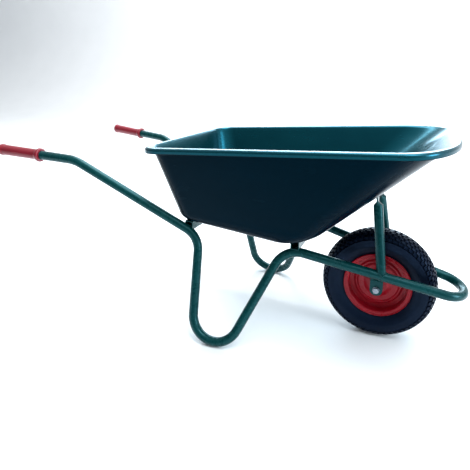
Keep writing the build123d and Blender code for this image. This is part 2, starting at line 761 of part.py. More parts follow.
def main():
    """Stand the barrow with the middle of its box over the origin and write each piece."""
    os.makedirs("parts", exist_ok=True)
    nodes = {name: [s for shape in group for s in shape.solids()] for name, group in pieces().items()}
    box = Compound([solid for group in nodes.values() for solid in group]).bounding_box()
    place = Pos(-(box.min.X + box.max.X) / 2, -(box.min.Y + box.max.Y) / 2, -box.min.Z)
    print("axle at x", round(place.position.X, 4), "z", round(AXLE_HEIGHT + place.position.Z, 4))
    for name, group in nodes.items():
        export_step(Compound([place * solid for solid in group]), os.path.join("parts", name + ".step"))


main()
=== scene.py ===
import json
import logging
import math
from dataclasses import dataclass, field
from enum import Enum

import bpy
import numpy as np
from mathutils import Matrix, Vector


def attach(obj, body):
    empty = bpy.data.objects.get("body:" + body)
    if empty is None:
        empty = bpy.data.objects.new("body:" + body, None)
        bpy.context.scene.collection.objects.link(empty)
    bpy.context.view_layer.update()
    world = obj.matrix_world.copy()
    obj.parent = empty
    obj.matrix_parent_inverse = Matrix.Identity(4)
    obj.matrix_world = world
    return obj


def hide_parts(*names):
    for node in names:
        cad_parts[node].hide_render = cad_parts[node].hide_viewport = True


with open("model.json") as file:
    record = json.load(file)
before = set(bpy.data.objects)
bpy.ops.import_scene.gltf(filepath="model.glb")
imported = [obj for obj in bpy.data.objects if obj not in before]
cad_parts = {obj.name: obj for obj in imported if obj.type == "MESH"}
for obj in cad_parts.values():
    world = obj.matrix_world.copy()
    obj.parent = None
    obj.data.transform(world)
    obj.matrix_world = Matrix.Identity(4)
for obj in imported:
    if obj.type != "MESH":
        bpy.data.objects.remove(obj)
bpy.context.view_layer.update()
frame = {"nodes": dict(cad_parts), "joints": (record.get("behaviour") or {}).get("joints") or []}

logging.basicConfig(level=logging.INFO, format="%(name)s: %(message)s")
LOG = logging.getLogger("wheelbarrow")

Array = np.ndarray
MM = 0.001
AXLE = np.array(frame["joints"][0]["pos_m"], float)
UNDER_AXLE = np.array([AXLE[0], 0, 0])


class Side(Enum):
    """Which side of the barrow a piece is on, seen by the person who pushes it."""

    LEFT = 1
    RIGHT = -1

    @property
    def label(self) -> str:
        """The word used in piece names."""
        return self.name.lower()


class Body(Enum):
    """The two bodies of the part."""

    FRAME = "frame"
    WHEEL = "wheel"


# ---- curves and surfaces ----
def unit(vectors: Array) -> Array:
    """The vectors at length 1."""
    return vectors / np.linalg.norm(vectors, axis=-1, keepdims=True)


def full_turn(count: int) -> Array:
    """Evenly spaced angles round a circle, from 0."""
    return np.linspace(0, 2 * math.pi, count, endpoint=False)


def parabola(start: Array, control: Array, end: Array, t: Array) -> Array:
    """The points at t of the parabola from start to end that leans to a control point."""
    return (1 - t) ** 2 * start + 2 * t * (1 - t) * control + t * t * end


def smoothstep(x: Array, start: float, end: float) -> Array:
    """A share that eases from 0 at start to 1 at end: 3t squared minus 2t cubed."""
    t = np.clip((x - start) / (end - start), 0.0, 1.0)
    return t * t * (3 - 2 * t)


def arc_through(start: Array, middle: Array, end: Array, count: int) -> Array:
    """Points on the circle through three flat points, evenly spaced from start to end.

    The centre is where the two perpendicular bisectors cross, and the angle runs from the
    start's to the end's on the side that holds the middle point.
    """
    rows = np.array([middle - start, end - start]) * 2
    right = np.array([middle @ middle - start @ start, end @ end - start @ start])
    centre = np.linalg.solve(rows, right)
    angles = [math.atan2(*(p - centre)[::-1]) for p in (start, middle, end)]
    to_middle = (angles[1] - angles[0] + math.pi) % (2 * math.pi) - math.pi
    sweep = (angles[2] - angles[0] + math.pi) % (2 * math.pi) - math.pi
    if to_middle * sweep < 0:
        sweep += math.copysign(2 * math.pi, to_middle)
    turn = angles[0] + sweep * np.linspace(0, 1, count)
    return centre + np.hypot(*(start - centre)) * np.stack([np.cos(turn), np.sin(turn)], 1)


def rounded(corners: list[tuple[float, float, float]], steps: int) -> Array:
    """A flat line whose corners are rounded.

    Each corner (x, y, cut) is replaced by a parabola that starts and ends a cut away from
    it on its two straight stretches, with the corner as its control point.

    Args:
        corners: the points with their cuts.
        steps: points on each rounding.
    Returns:
        The line as (n, 2).
    """
    pts = np.array([c[:2] for c in corners], float)
    out = [pts[:1]]
    t = np.linspace(0, 1, steps)[:, None]
    for i in range(1, len(pts) - 1):
        cut = corners[i][2]
        first = pts[i] + unit(pts[i - 1] - pts[i]) * cut
        last = pts[i] + unit(pts[i + 1] - pts[i]) * cut
        out.append(parabola(first, pts[i], last, t))
    out.append(pts[-1:])
    return np.concatenate(out)


def thickened(line: Array, thickness: float) -> Array:
    """A closed flat section: the line, and back along it moved by a thickness to its left."""
    along = unit(np.gradient(line, axis=0))
    left = np.stack([-along[:, 1], along[:, 0]], 1)
    return np.concatenate([line, (line + left * thickness)[::-1]])


def turned(section: Array, count: int, origin: Array, axis: Array, start: Array) -> Array:
    """A section turned about a line.

    Each point (along, radius) goes to origin + along * axis + radius * (cos a * start +
    sin a * side), where side is square to axis and start.

    Args:
        section: points (n, 2) as distance along the axis and radius.
        count: how many places round the axis.
        origin, axis, start: a point on the axis, its direction, and the direction of angle 0.
    Returns:
        A grid (n, count, 3).
    """
    side = np.cross(axis, start)
    turn = full_turn(count)[:, None]
    ring = np.cos(turn) * start + np.sin(turn) * side
    return origin + section[:, 0, None, None] * axis + section[:, 1, None, None] * ring[None]


def carried(profile: Array, path: Array, guide: Array) -> Array:
    """A closed profile carried along a closed path.

    At each path point the profile's x lies along the guide with its part along the path
    taken out, and its y along the path's tangent crossed with that.

    Args:
        profile, path: (n, m, 2) and (n, 3).
        guide: (n, 3) direction that the profile's x leans to.
    Returns:
        A grid (n, m, 3).
    """
    tangent = unit(np.roll(path, -1, 0) - np.roll(path, 1, 0))
    first = unit(guide - (guide * tangent).sum(1, keepdims=True) * tangent)
    second = np.cross(tangent, first)
    return path[:, None] + profile[..., :1] * first[:, None] + profile[..., 1:] * second[:, None]


@dataclass
class Surface:
    """A mesh gathered from grids of points, each one a closed shell that faces outwards."""

    points: list[Array] = field(default_factory=list)
    quads: list[Array] = field(default_factory=list)
    triangles: list[Array] = field(default_factory=list)
    count: int = 0

    def add(self, grid: Array, loop_rows: bool = True) -> None:
        """Adds a grid whose columns close on themselves.

        With loop_rows the last row joins the first, or else each open end is closed by a
        fan to the middle of its ring. The shell is turned over if its volume is negative.
        """
        rows, columns = grid.shape[:2]
        index = np.arange(rows * columns).reshape(rows, columns)
        right = np.roll(index, -1, 1)
        if loop_rows:
            below, below_right = np.roll(index, -1, 0), np.roll(right, -1, 0)
            quads = np.stack([index, right, below_right, below], -1).reshape(-1, 4)
            triangles = np.zeros((0, 3), int)
            points = grid.reshape(-1, 3)
        else:
            quads = np.stack([index[:-1], right[:-1], right[1:], index[1:]], -1)
            quads = quads.reshape(-1, 4)
            poles = rows * columns + np.arange(2)
            first = np.stack([right[0], index[0], np.full(columns, poles[0])], -1)
            last = np.stack([index[-1], right[-1], np.full(columns, poles[1])], -1)
            triangles = np.concatenate([first, last])
            points = np.concatenate([grid.reshape(-1, 3), grid[[0, -1]].mean(1)])
        if self._volume(points, quads, triangles) < 0:
            quads, triangles = quads[:, ::-1], triangles[:, ::-1]
        self.points.append(points)
        self.quads.append(quads + self.count)
        self.triangles.append(triangles + self.count)
        self.count += len(points)

    @staticmethod
    def _volume(points: Array, quads: Array, triangles: Array) -> float:
        """The enclosed volume: a sixth of the sum of each triangle's triple product."""
        tris = np.concatenate([quads[:, [0, 1, 2]], quads[:, [0, 2, 3]], triangles])
        a, b, c = (points[tris[:, i]] for i in range(3))
        return float((np.cross(a, b) * c).sum() / 6)

    def build(
        self,
        name: str,
        body: Body,
        finish: "Finish",
        replaces: tuple[str, ...] = (),
        sharp: float = 38.0,
        marks: dict[str, Array] | None = None,
    ) -> None:
        """Makes the mesh object and hangs it on its body.

        Args:
            name, body: the piece's name and the body it moves with.
            finish: what it is made of.
            replaces: the CAD nodes it stands for.
            sharp: edges that turn more than this many degrees stay crisp.
            marks: a value for each point, by name, that the finish may read.
        """
        mesh = bpy.data.meshes.new(name)
        points = np.concatenate(self.points)
        quads, triangles = np.concatenate(self.quads), np.concatenate(self.triangles)
        corners = np.concatenate([quads.ravel(), triangles.ravel()]).astype(np.int32)
        sizes = np.concatenate([np.full(len(quads), 4), np.full(len(triangles), 3)])
        starts = np.concatenate([[0], np.cumsum(sizes)[:-1]]).astype(np.int32)
        mesh.vertices.add(len(points))
        mesh.vertices.foreach_set("co", points.astype(np.float32).ravel())
        mesh.loops.add(len(corners))
        mesh.loops.foreach_set("vertex_index", corners)
        mesh.polygons.add(len(sizes))
        mesh.polygons.foreach_set("loop_start", starts)
        mesh.polygons.foreach_set("use_smooth", np.ones(len(sizes), bool))
        mesh.update(calc_edges=True)
        mesh.set_sharp_from_angle(angle=math.radians(sharp))
        for key, values in (marks or {}).items():
            layer = mesh.attributes.new(key, "FLOAT", "POINT")
            layer.data.foreach_set("value", values.astype(np.float32))
        mesh.materials.append(finish.material())
        piece = bpy.data.objects.new(name, mesh)
        bpy.context.scene.collection.objects.link(piece)
        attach(piece, body.value)
        if replaces:
            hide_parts(*replaces)
        LOG.info("%s: %d points on %s", name, len(points), body.value)


# ---- finishes ----
class Sketch:
    """Lays out one material's nodes."""

    def __init__(self, name: str) -> None:
        """Starts a material with an empty node tree but for its shader."""
        self.material = bpy.data.materials.new(name)
        self.material.use_nodes = True
        self.nodes = self.material.node_tree.nodes
        self.links = self.material.node_tree.links
        self.shader = self.nodes["Principled BSDF"]
        self.place = self.nodes.new("ShaderNodeTexCoord").outputs["Object"]

    def set(self, **values: object) -> None:
        """Sets the shader's own sockets, with underscores for spaces in their names."""
        for key, value in values.items():
            self.shader.inputs[key.replace("_", " ")].default_value = value

    def noise(self, scale: float, detail: float, stretch: tuple = (1, 1, 1)) -> object:
        """A cloudy pattern from 0 to 1, of scale spots to a metre and detail finer layers."""
        turn = self.nodes.new("ShaderNodeMapping")
        turn.inputs["Scale"].default_value = stretch
        self.links.new(self.place, turn.inputs["Vector"])
        node = self.nodes.new("ShaderNodeTexNoise")
        node.inputs["Scale"].default_value = scale
        node.inputs["Detail"].default_value = detail
        self.links.new(turn.outputs["Vector"], node.inputs["Vector"])
        return node.outputs["Fac"]

    def cells(self, scale: float) -> object:
        """A pattern of flat cells, each with its own value, of scale cells to a metre."""
        node = self.nodes.new("ShaderNodeTexVoronoi")
        node.inputs["Scale"].default_value = scale
        self.links.new(self.place, node.inputs["Vector"])
        return node.outputs["Color"]

    def ramp(self, source: object, stops: list[tuple[float, tuple]]) -> object:
        """Colours a pattern by stops of (place, colour) from low to high."""
        node = self.nodes.new("ShaderNodeValToRGB")
        line = node.color_ramp
        ends = [line.elements[0], line.elements[1]]
        for element, (place, colour) in zip(ends, (stops[0], stops[-1])):
            element.position = place
            element.color = (*colour, 1.0)
        for place, colour in stops[1:-1]:
            line.elements.new(place).color = (*colour, 1.0)
        self.links.new(source, node.inputs["Fac"])
        return node.outputs["Color"]

    def mark(self, name: str) -> object:
        """The value that the mesh carries under a name."""
        node = self.nodes.new("ShaderNodeAttribute")
        node.attribute_name = name
        return node.outputs["Fac"]

    def mix(self, share: object, first: object, second: object) -> object:
        """One colour pattern fading into another."""
        node = self.nodes.new("ShaderNodeMix")
        node.data_type = "RGBA"
        self.links.new(share, node.inputs["Factor"])
        self.links.new(first, node.inputs["A"])
        self.links.new(second, node.inputs["B"])
        return node.outputs["Result"]

    def span(self, source: object, *limits: float) -> object:
        """Maps a pattern's range to another: limits are from low, from high, to low, to high."""
        node = self.nodes.new("ShaderNodeMapRange")
        for key, value in zip(("From Min", "From Max", "To Min", "To Max"), limits):
            node.inputs[key].default_value = value
        self.links.new(source, node.inputs["Value"])
        return node.outputs["Result"]

    def scuff(self, pattern: object, gloss: float, spread: float) -> None:
        """Lets a cloudy pattern roughen the surface from gloss to gloss plus spread."""
        self.feed("Roughness", self.span(pattern, 0.3, 0.8, gloss, gloss + spread))

    def bump(self, source: object, depth: float, strength: float) -> None:
        """Adds a height pattern, depth in metres, on top of any that is already there."""
        node = self.nodes.new("ShaderNodeBump")
        node.inputs["Distance"].default_value = depth
        node.inputs["Strength"].default_value = strength
        self.links.new(source, node.inputs["Height"])
        normal = self.shader.inputs["Normal"]
        if normal.is_linked:
            self.links.new(normal.links[0].from_socket, node.inputs["Normal"])
        self.links.new(node.outputs["Normal"], normal)

    def feed(self, socket: str, source: object) -> None:
        """Links a pattern to one of the shader's sockets."""
        self.links.new(source, self.shader.inputs[socket])


@dataclass(frozen=True)
class Finish:
    """What a surface is made of. Each kind fills in the node tree in its own dress()."""

    name: str
    slot: str
    deep: tuple
    light: tuple
    tint: tuple = (1.0, 1.0, 1.0)
    gloss: float = 0.25
    shine: float = 0.5

    def material(self) -> bpy.types.Material:
        """The finish's material, made the first time it is asked for."""
        found = bpy.data.materials.get(self.name)
        if found:
            return found
        sketch = Sketch(self.name)
        sketch.set(Specular_IOR_Level=self.shine, Specular_Tint=(*self.tint, 1.0))
        self.dress(sketch)
        return sketch.material

    def dress(self, sketch: Sketch) -> None:
        """Fills in the node tree."""
        raise NotImplementedError


@dataclass(frozen=True)
class Paint(Finish):
    """Gloss paint over steel, with a slight orange-peel skin and thin scuffs."""

    worn: tuple = (0.0, 0.0, 0.0)

    def dress(self, sketch: Sketch) -> None:
        """Colour drifts slowly, small chips are lighter, and the skin is faintly uneven."""
        stops = [(0.3, self.deep), (0.66, self.light), (0.78, self.light), (0.84, self.worn)]
        sketch.feed("Base Color", sketch.ramp(sketch.noise(7, 4), stops))
        scuffs = sketch.noise(38, 5)
        sketch.feed("Roughness", sketch.span(scuffs, 0.3, 0.75, self.gloss, self.gloss + 0.16))
        sketch.bump(sketch.noise(420, 2), 0.00006, 0.25)
        sketch.bump(sketch.noise(60, 2), 0.0003, 0.08)


@dataclass(frozen=True)
class Moulding(Finish):
    """Semi-gloss moulded plastic with faint flow streaks and a fine grain."""

    def dress(self, sketch: Sketch) -> None:
        """Long soft streaks in the colour, scuffed roughness and a leather-fine grain."""
        streaks = sketch.noise(4, 3, (0.6, 1.0, 2.0))
        sketch.feed("Base Color", sketch.ramp(streaks, [(0.3, self.deep), (0.7, self.light)]))
        sketch.scuff(sketch.noise(24, 4, (0.4, 1.0, 1.0)), self.gloss, 0.1)
        sketch.bump(sketch.noise(900, 2), 0.00004, 0.3)
        sketch.bump(sketch.noise(9, 1), 0.0008, 0.05)


@dataclass(frozen=True)
class LitInsideMoulding(Moulding):
    """A moulding whose inside, where the mesh's mark is 1, is glossier and painted in a paler
    colour: painted light for the lit inside, against the outside in shade.
    """

    inside: str = "inside"
    lit_inside_deep: tuple = (0.0, 0.0, 0.0)
    lit_inside_light: tuple = (0.0, 0.0, 0.0)
    inner_shine: float = 0.4

    def dress(self, sketch: Sketch) -> None:
        """The moulding's pattern, with a second, paler colour painted on the inside as painted
        light, and more shine there.
        """
        super().dress(sketch)
        where = sketch.mark(self.inside)
        outer = sketch.shader.inputs["Base Color"].links[0].from_socket
        # Painted light: the inside gets a paler copy of the same plastic's colour, as if lit,
        # against the darker outside.
        stops = [(0.3, self.lit_inside_deep), (0.7, self.lit_inside_light)]
        inner = sketch.ramp(sketch.noise(6, 4), stops)
        sketch.feed("Base Color", sketch.mix(where, outer, inner))
        sketch.feed("Specular IOR Level", sketch.span(where, 0, 1, self.shine, self.inner_shine))


@dataclass(frozen=True)
class Rubber(Finish):
    """Dark rubber with a dusty bloom."""

    tint: tuple = (0.3, 0.55, 1.0)
    gloss: float = 0.36
    shine: float = 0.26

    def dress(self, sketch: Sketch) -> None:
        """Dust gathers in cloudy patches, and the skin has a fine grain."""
        dust = sketch.noise(26, 7)
        sketch.feed("Base Color", sketch.ramp(dust, [(0.42, self.deep), (0.78, self.light)]))
        sketch.scuff(sketch.noise(90, 5), self.gloss, 0.3)
        sketch.bump(sketch.noise(700, 3), 0.00012, 0.4)


@dataclass(frozen=True)
class Metal(Finish):
    """Bare or plated metal with a mottled skin."""

    def dress(self, sketch: Sketch) -> None:
        """Crystal-like cells shift the colour, and fine marks roughen the skin."""
        crystals = sketch.cells(700)
        sketch.feed("Base Color", sketch.ramp(crystals, [(0.0, self.deep), (1.0, self.light)]))
        sketch.scuff(sketch.noise(500, 4), self.gloss, 0.25)
        sketch.set(Metallic=1.0)
        sketch.bump(sketch.noise(1500, 2), 0.00004, 0.5)


GREEN_PAINT = Paint(
    "green_gloss_paint", "green_paint",
    deep=(0.0004, 0.025, 0.026), light=(0.0006, 0.033, 0.034), worn=(0.004, 0.055, 0.057),
    tint=(0.35, 0.9, 1.0), gloss=0.2, shine=0.34,
)
RED_PAINT = Paint(
    "red_rim_paint", "rim_paint",
    deep=(0.20, 0.0012, 0.006), light=(0.27, 0.0018, 0.009), worn=(0.34, 0.012, 0.016),
    tint=(1.0, 0.55, 0.6), gloss=0.24, shine=0.4,
)
# Painted light and shade: the outer colours are darkened as painted shade and the inner ones made
# paler as painted light, for one and the same plastic; the inside also shines more.
TRAY_PLASTIC = LitInsideMoulding(
    "tray_moulding", "tray_plastic",
    deep=(0.0001, 0.0036, 0.0085), light=(0.0002, 0.0050, 0.0112), tint=(0.08, 0.7, 1.0),
    gloss=0.2, shine=0.05,
    lit_inside_deep=(0.0008, 0.017, 0.021), lit_inside_light=(0.0012, 0.023, 0.027), inner_shine=1.0,
)
GRIP_PLASTIC = Moulding(
    "grip_moulding", "grip_plastic",
    deep=(0.17, 0.002, 0.010), light=(0.23, 0.004, 0.015), tint=(1.0, 0.85, 0.9),
    gloss=0.3, shine=0.7,
)
CAP_PLASTIC = Moulding(
    "cap_moulding", "cap_plastic",
    deep=(0.006, 0.006, 0.007), light=(0.012, 0.012, 0.013), gloss=0.4, shine=0.4,
)
TYRE_RUBBER = Rubber(
    "black_tread_rubber", "tyre_rubber", (0.0003, 0.0012, 0.0055), (0.0012, 0.0030, 0.0105),
)
TUBE_RUBBER = Rubber("inner_tube_rubber", "tube_rubber", (0.006, 0.006, 0.007), (0.02, 0.02, 0.02))
ZINC = Metal("bright_zinc", "zinc", (0.16, 0.19, 0.23), (0.32, 0.36, 0.41), gloss=0.26)
BEARING_STEEL = Metal(
    "polished_steel", "bearing_steel", (0.35, 0.35, 0.36), (0.6, 0.6, 0.62), gloss=0.15,
)
BRASS = Metal("turned_brass", "valve_brass", (0.5, 0.36, 0.14), (0.7, 0.52, 0.22))

PLAIN_NODES: dict[Finish, tuple[str, ...]] = {
    GREEN_PAINT: (
        "main_tube", "front_strut_left", "front_strut_right", "rear_crossbar", "front_crossbar",
        "tray_lug_left", "tray_lug_right", "axle_bracket_left", "axle_bracket_right",
    ),
    ZINC: (
        "tray_bolts", "tray_washers", "tray_nuts", "axle_bolt", "axle_nut", "axle_washers",
        "axle_spacer_left", "axle_spacer_right",
    ),
    BEARING_STEEL: ("bearing_spacer", "bearing_left", "bearing_right"),
    RED_PAINT: ("hub",),
    TUBE_RUBBER: ("inner_tube",),
    BRASS: ("valve_stem",),
    CAP_PLASTIC: ("valve_cap",),
}


def dress_cad_nodes() -> None:
    """Gives every CAD node that stays in view its finish."""
    for finish, names in PLAIN_NODES.items():
        for name in names:
            node = frame["nodes"][name]
            node.data.materials.clear()
            node.data.materials.append(finish.material())
        LOG.info("%s on %s", finish.name, ", ".join(names))


# ---- tray ----
@dataclass
class Tray:
    """The moulded tub with its rolled rim. Millimetres, x and z from the axle and ground."""

    wall: float = 4.5
    rim_back: float = -771.0
    rim_front: float = 207.0
    rim_rear_half: float = 287.0
    rim_front_half: float = 312.0
    rim_nose_x: float = 60.0
    rim_nose_flat: float = 60.0
    wall_nose_x: float = 25.0
    wall_nose_flat: float = 144.0
    rim_corner: float = 72.0
    rim_height_back: float = 663.5
    rim_slope: float = 0.071
    flange_side: float = 22.0
    flange_rear: float = 17.0
    flange_front: float = 20.0
    lip_depth: float = 19.0
    lip_radius: float = 9.0
    floor_back: float = -662.0
    floor_front: float = -324.0
    floor_rear_half: float = 171.0
    floor_front_half: float = 168.0
    floor_corner: float = 32.0
    floor_height_back: float = 401.0
    floor_slope: float = -0.107
    edge_radius: float = 44.0
    bow_radius: float = 200.0
    side_angle: float = 77.0
    rear_angle: float = 80.0
    front_angle: float = 50.0
    fillet: float = 9.0
    outline_steps: tuple = (13, 15, 49, 41)
    spokes: tuple = (0.15, 0.4, 0.65, 0.85)
    foot_rings: int = 13
    wall_rings: int = 22
    over_rings: int = 8
    tip_rings: int = 7
    skirt_rings: int = 4
    top_flat: float = 0.5
    under_flat: tuple = (0.2, 0.4)
    under_bend: tuple = (1.4, 1.6)

    def rim_height(self, x: Array) -> Array:
        """Height of the rim's top face: a straight climb towards the front."""
        return self.rim_height_back + self.rim_slope * (x - self.rim_back)

    def floor_height(self, x: Array) -> Array:
        """Height of the underside of the floor: a straight fall towards the front."""
        return self.floor_height_back + self.floor_slope * (x - self.floor_back)

    def outline(self, back: tuple, fore: tuple, shape: tuple) -> Array:
        """Rings in the plan of the tray, one for each entry of the arguments' arrays.

        From the middle of the straight rear edge: a quarter circle at the rear corner, a
        side that flares in a straight line, a quarter ellipse at the nose, and a straight
        front edge, then the same mirrored. It lies in the slanting plane through two
        (x, z) points, so lengths along x are stretched by one over the slope's cosine.

        Args:
            back, fore: (x, z) of the middle of the rear and front edges.
            shape: rear half-width, nose half-width, x where the nose starts, half-width
                of its straight front, and corner radius.
        Returns:
            Rings as (k, around, 3).
        """
        values = [np.atleast_1d(v).astype(float) for v in (*back, *fore, *shape)]
        values = np.broadcast_arrays(*values)
        bx, bz, fx, fz, rear, nose_half, nose_x, flat, corner = (v[:, None] for v in values)
        slope = np.arctan2(fz - bz, fx - bx)
        stretch = 1 / np.cos(slope)
        length, nose = (fx - bx) * stretch, (nose_x - bx) * stretch
        at_corner = rear + (nose_half - rear) / nose * corner
        on_edge, on_corner, on_side, on_nose = self.outline_steps
        straight = np.linspace(0, 1, on_edge)[None, :-1]
        quarter = np.linspace(0, math.pi / 2, on_corner)[None]
        side = np.linspace(0, 1, on_side)[None, 1:-1]
        bend = np.linspace(0, math.pi / 2, on_nose)[None]
        s = [
            0 * straight * length,
            corner - corner * np.cos(quarter),
            corner + (nose - corner) * side,
            nose + (length - nose) * np.sin(bend),
            length + 0 * straight,
        ]
        y = [
            straight * (at_corner - corner),
            at_corner - corner + corner * np.sin(quarter),
            at_corner + (nose_half - at_corner) * side,
            flat + (nose_half - flat) * np.cos(bend),
            flat * (1 - straight - straight[:, 1:2]),
        ]
        s, y = np.concatenate(s, 1), np.concatenate(y, 1)
        s, y = np.concatenate([s, s[:, :0:-1]], 1), np.concatenate([y, -y[:, :0:-1]], 1)
        return np.stack([bx + s * np.cos(slope), y, bz + s * np.sin(slope)], -1)

    def foot(self, turn: Array, inset: float) -> Array:
        """Rings of the rounded lower edge, from the flat floor at turn 0 to the walls at 1.

        The edge is an arc of edge_radius whose angle grows with turn, and in front an arc
        of bow_radius that starts along the floor's slope. Inset moves it inside that skin.
        """
        tilt = math.atan(self.floor_slope)
        side, rear = np.radians(self.side_angle * turn), np.radians(self.rear_angle * turn)
        edge, bow = self.edge_radius - inset, self.bow_radius - inset
        back_z = self.floor_height(self.floor_back) + self.edge_radius - edge * np.cos(rear)
        angle = np.radians(self.front_angle * turn) + tilt
        fore_x = self.floor_front + bow * (np.sin(angle) - math.sin(tilt))
        rise = self.bow_radius - bow * np.cos(angle) / math.cos(tilt)
        grow = edge * np.sin(side)
        shape = (
            self.floor_rear_half + grow,
            self.floor_front_half + grow,
            fore_x - self.floor_corner - grow,
            self.floor_front_half - self.floor_corner,
            self.floor_corner + grow,
        )
        back = (self.floor_back - edge * np.sin(rear), back_z)
        return self.outline(back, (fore_x, self.floor_height(self.floor_front) + rise), shape)

    def rim_outline(self, back: Array, fore: Array, shape: tuple) -> Array:
        """Rings in the rim's plane, from the x of their rear and front edges."""
        return self.outline((back, self.rim_height(back)), (fore, self.rim_height(fore)), shape)

    def brim(self, inset: float) -> Array:
        """The ring where the wall meets the rim's plane."""
        back = self.rim_back + self.flange_rear + inset
        fore = self.rim_front - self.flange_front - inset
        spread = -self.flange_side - inset
        shape = (
            self.rim_rear_half + spread,
            self.rim_front_half + spread,
            self.wall_nose_x,
            self.wall_nose_flat,
            self.rim_corner + spread / 2,
        )
        return self.rim_outline(back, fore, shape)

    def edge(self, inset: Array, depth: Array) -> Array:
        """Rings at the rim's outer edge, moved inwards and down."""
        shape = (
            self.rim_rear_half - inset,
            self.rim_front_half - inset,
            self.rim_nose_x,
            self.rim_nose_flat,
            self.rim_corner - inset,
        )
        rings = self.rim_outline(self.rim_back + inset, self.rim_front - inset, shape)
        rings[..., 2] -= np.atleast_1d(depth)[:, None]
        return rings

    @staticmethod
    def between(start: Array, end: Array, shares: Array) -> Array:
        """Rings part way from one ring to another."""
        t = np.atleast_1d(shares)[:, None, None]
        return start * (1 - t) + end * t

    @staticmethod
    def blend(start: Array, corner: Array, end: Array, steps: int) -> Array:
        """Rings on the parabolas that leave start and reach end with corner as control."""
        return parabola(start, corner, end, np.linspace(0, 1, steps)[:, None, None])

    def rings(self) -> tuple[Array, Array]:
        """Every ring of the tub: from the middle of the inner floor over the rim to the tip
        of its lip, and from there back to the middle of the underside.
        """
        turns = np.linspace(0, 1, self.foot_rings)
        over, tip = self.lip_radius, self.wall / 2
        straight = self.lip_depth - tip
        round_down = np.linspace(0, math.pi / 2, self.over_rings)
        tip_turn = np.linspace(0, math.pi, self.tip_rings)
        inner, outer = self.foot(turns, self.wall), self.foot(turns, 0.0)
        brim_in, brim_out = self.brim(self.wall), self.brim(0.0)
        height = np.abs(brim_in[..., 2] - inner[-1:, :, 2]).max()
        cut = self.fillet / height
        wall_end = self.between(inner[-1:], brim_in, 1 - cut)
        flange_start = self.between(brim_in, self.edge(over, 0.0), self.top_flat)
        middle = inner[:1].mean(1, keepdims=True)
        under_middle = outer[:1].mean(1, keepdims=True)
        spokes = np.array(self.spokes)
        under = self.edge(self.wall, self.wall)
        seat = self.between(outer[-1:], brim_out, 1 - self.wall / height)
        under_end = self.between(under, seat, self.under_flat[0])
        seat_start = self.between(seat, under, self.under_flat[1])
        bend, skirt_end = (self.wall * times for times in self.under_bend)
        skirt = np.linspace(over, straight, self.skirt_rings)[1:]
        back_up = np.linspace(straight, skirt_end, self.skirt_rings)[1:]
        upper = np.concatenate([
            self.between(middle, inner[:1], spokes),
            inner,
            self.between(inner[-1:], wall_end, np.linspace(0, 1, self.wall_rings)[1:-1]),
            self.blend(wall_end, brim_in, flange_start, 6),
            self.edge(over * (1 - np.sin(round_down)), over * (1 - np.cos(round_down))),
            self.edge(np.zeros(len(skirt)), skirt),
        ])
        lower = np.concatenate([
            self.edge(tip * (1 - np.cos(tip_turn)), straight + tip * np.sin(tip_turn)),
            self.edge(np.full(len(back_up), self.wall), back_up),
            self.blend(self.edge(self.wall, bend), under, under_end, 4),
            self.blend(seat_start, seat, self.between(seat, outer[-1:], cut), 5),
            self.between(seat, outer[-1:], np.linspace(cut, 1, self.wall_rings)[1:-1]),
            outer[::-1],
            self.between(under_middle, outer[:1], spokes[::-1]),
        ])
        return upper, lower

    def build(self) -> None:
        """Makes the tub."""
        surface = Surface()
        upper, lower = self.rings()
        grid = np.concatenate([upper, lower])
        surface.add(grid * MM + UNDER_AXLE, loop_rows=False)
        around = upper.shape[1]
        counts = [len(upper) * around, len(lower) * around, 1, 1]
        # The inside mark is 1 on the inner faces, the flange and the lip face, where the paler
        # painted-light colour goes, and 0 on the outside, painted in shade.
        inside = np.repeat([1, 0, 1, 0], counts)
        marks = {TRAY_PLASTIC.inside: inside}
        surface.build("tray_tub", Body.FRAME, TRAY_PLASTIC, ("tray",), marks=marks)


